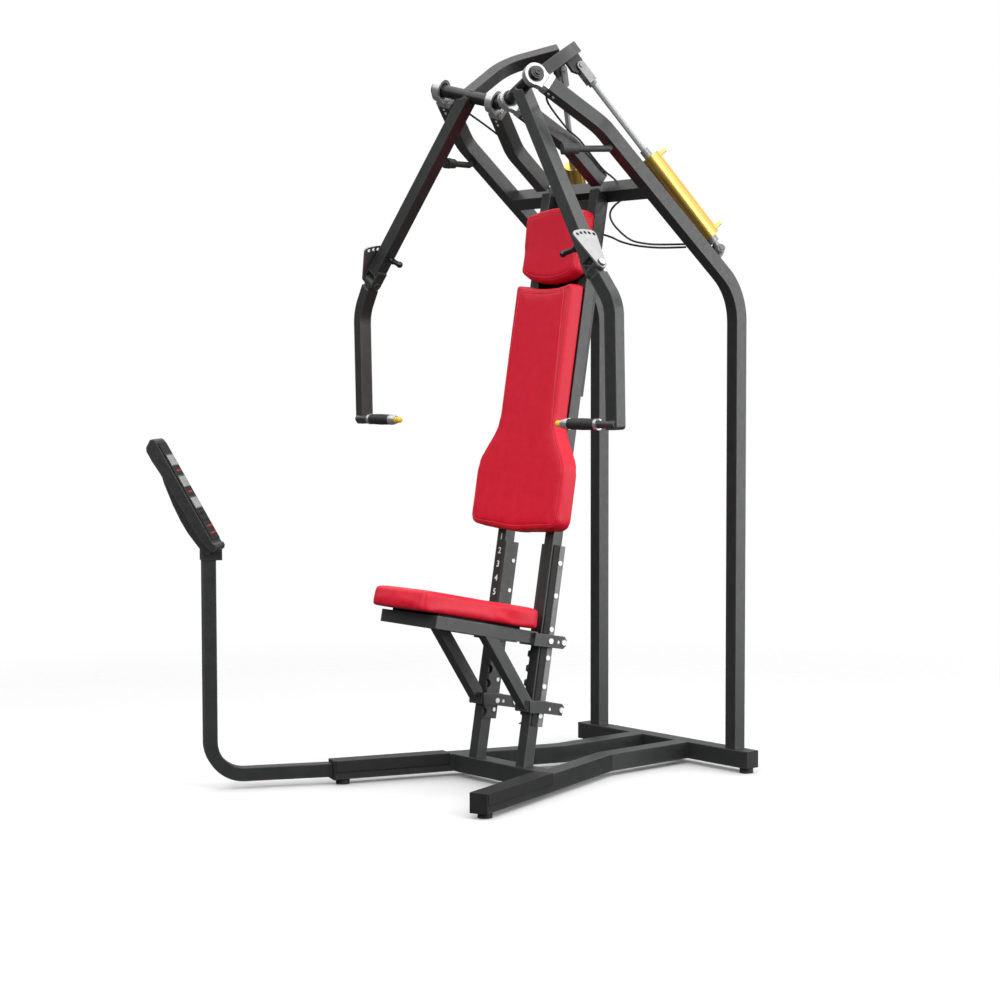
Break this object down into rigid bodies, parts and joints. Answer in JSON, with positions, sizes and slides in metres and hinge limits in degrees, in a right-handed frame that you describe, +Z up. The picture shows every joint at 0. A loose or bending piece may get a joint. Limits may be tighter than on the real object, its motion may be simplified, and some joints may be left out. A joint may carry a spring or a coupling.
{
  "type": "chest press machine",
  "caption": "Chest press strength machine: swinging arms with hand grips, air cylinders, padded seat and back rest and a console on a tube frame.",
  "frame": {"origin": "centre of the machine's bounding box on the floor", "axes": "+Z up, the user sits facing -Y, +X is the side opposite the console"},
  "size_m": [1.1993, 1.4964, 2.1184],
  "materials": {
    "frame_paint": "satin charcoal powder coat",
    "black_plastic": "fine matt texture",
    "display_face": "glossy overlay",
    "black_rubber": "matt rubber",
    "polished_alloy": "polished",
    "brushed_steel": "brushed",
    "chrome_steel": "polished",
    "black_steel": "black oxide",
    "board": "painted plywood board",
    "red_vinyl": "fine-grained red vinyl",
    "yellow_plastic": "semi gloss",
    "gold_anodised": "brushed gold anodised"
  },
  "bodies": {
    "frame": {"base_rear_tube": "frame_paint", "base_rails": "frame_paint", "base_front_tube": "frame_paint", "rail_covers": "black_plastic", "rail_end_caps": "black_plastic", "feet": "black_rubber", "main_tube_l": "frame_paint", "main_tube_r": "frame_paint", "upper_cross_tube": "frame_paint", "inner_tubes": "frame_paint", "bearing_rings": "polished_alloy", "ring_screws": "chrome_steel", "seat_posts": "frame_paint", "guide_bars": "brushed_steel", "wear_strips": "black_plastic", "rack_plates": "frame_paint", "guide_screws": "chrome_steel", "rear_channel": "frame_paint", "bumper_rods": "frame_paint", "rubber_bumpers": "black_rubber", "cylinder_brackets": "brushed_steel", "pad_boards": "board", "back_pad": "red_vinyl", "head_pad": "red_vinyl", "console_arm": "frame_paint", "console_housing": "black_plastic", "console_face": "display_face", "air_hoses": "black_rubber"},
    "seat": {"seat_frame": "frame_paint", "carriage_plates": "frame_paint", "carriage_rollers": "black_plastic", "carriage_bolts": "chrome_steel", "seat_board": "board", "seat_pad": "red_vinyl"},
    "press_l": {"shaft_l": "black_steel", "upper_arm_l": "frame_paint", "lever_l": "frame_paint"},
    "lower_l": {"lower_arm_l": "frame_paint", "adjuster_plate_l": "polished_alloy", "handle_collars_l": "polished_alloy", "hand_grip_l": "black_rubber"},
    "pull_l": {"pull_pin_l": "black_steel"},
    "button_l": {"thumb_button_l": "yellow_plastic"},
    "cyl_l": {"barrel_l": "gold_anodised", "cylinder_ends_l": "brushed_steel"},
    "rod_l": {"piston_rod_l": "chrome_steel", "clevis_l": "brushed_steel"},
    "press_r": {"shaft_r": "black_steel", "upper_arm_r": "frame_paint", "lever_r": "frame_paint"},
    "lower_r": {"lower_arm_r": "frame_paint", "adjuster_plate_r": "polished_alloy", "handle_collars_r": "polished_alloy", "hand_grip_r": "black_rubber"},
    "pull_r": {"pull_pin_r": "black_steel"},
    "button_r": {"thumb_button_r": "yellow_plastic"},
    "cyl_r": {"barrel_r": "gold_anodised", "cylinder_ends_r": "brushed_steel"},
    "rod_r": {"piston_rod_r": "chrome_steel", "clevis_r": "brushed_steel"}
  },
  "joints": [
    {"name": "seat_height", "type": "slide", "parent": "frame", "child": "seat", "axis": [0, 0.1736, 0.9848], "range_m": [0, 0.164]},
    {"name": "press_swing_r", "type": "hinge", "parent": "frame", "child": "press_r", "pos_m": [0.15497, 0.0423, 1.9552], "axis": [-0.9205, 0.3036, -0.2459], "range_deg": [-5, 30]},
    {"name": "handle_position_r", "type": "hinge", "parent": "press_r", "child": "lower_r", "pos_m": [0.51687, -0.0233, 1.4415], "axis": [0.8134, 0, 0.5817], "range_deg": [-27, 9]},
    {"name": "lock_pin_r", "type": "slide", "parent": "press_r", "child": "pull_r", "axis": [-0.8134, 0, -0.5817], "range_m": [0, 0.008], "stiffness_N_per_m": 500},
    {"name": "thumb_button_r", "type": "slide", "parent": "lower_r", "child": "button_r", "axis": [0.999, 0.0436, 0], "range_m": [0, 0.005], "stiffness_N_per_m": 400},
    {"name": "cylinder_swing_r", "type": "hinge", "parent": "frame", "child": "cyl_r", "pos_m": [0.31987, 0.6582, 1.5285], "axis": [0.9227, -0.3007, 0.2413], "range_deg": [-0.9, 5.4]},
    {"name": "rod_stroke_r", "type": "slide", "parent": "cyl_r", "child": "rod_r", "axis": [0.3673, 0.4956, -0.787], "range_m": [-0.0235, 0.136]},
    {"name": "press_swing_l", "type": "hinge", "parent": "frame", "child": "press_l", "pos_m": [-0.07923, 0.0423, 1.9552], "axis": [-0.9205, -0.3036, 0.2459], "range_deg": [-5, 30]},
    {"name": "handle_position_l", "type": "hinge", "parent": "press_l", "child": "lower_l", "pos_m": [-0.44113, -0.0233, 1.4415], "axis": [0.8134, 0, -0.5817], "range_deg": [-27, 9]},
    {"name": "lock_pin_l", "type": "slide", "parent": "press_l", "child": "pull_l", "axis": [0.8134, 0, -0.5817], "range_m": [0, 0.008], "stiffness_N_per_m": 500},
    {"name": "thumb_button_l", "type": "slide", "parent": "lower_l", "child": "button_l", "axis": [-0.999, 0.0436, 0], "range_m": [0, 0.005], "stiffness_N_per_m": 400},
    {"name": "cylinder_swing_l", "type": "hinge", "parent": "frame", "child": "cyl_l", "pos_m": [-0.24413, 0.6582, 1.5285], "axis": [0.9227, 0.3007, -0.2413], "range_deg": [-0.9, 5.4]},
    {"name": "rod_stroke_l", "type": "slide", "parent": "cyl_l", "child": "rod_l", "axis": [-0.3673, 0.4956, -0.787], "range_m": [-0.0235, 0.136]}
  ],
  "couplings": [
    {"joint": "cylinder_swing_r", "follows": "press_swing_r", "ratio": 0.175},
    {"joint": "rod_stroke_r", "follows": "press_swing_r", "m_per_rad": 0.2565},
    {"joint": "cylinder_swing_l", "follows": "press_swing_l", "ratio": 0.175},
    {"joint": "rod_stroke_l", "follows": "press_swing_l", "m_per_rad": 0.2565}
  ]
}
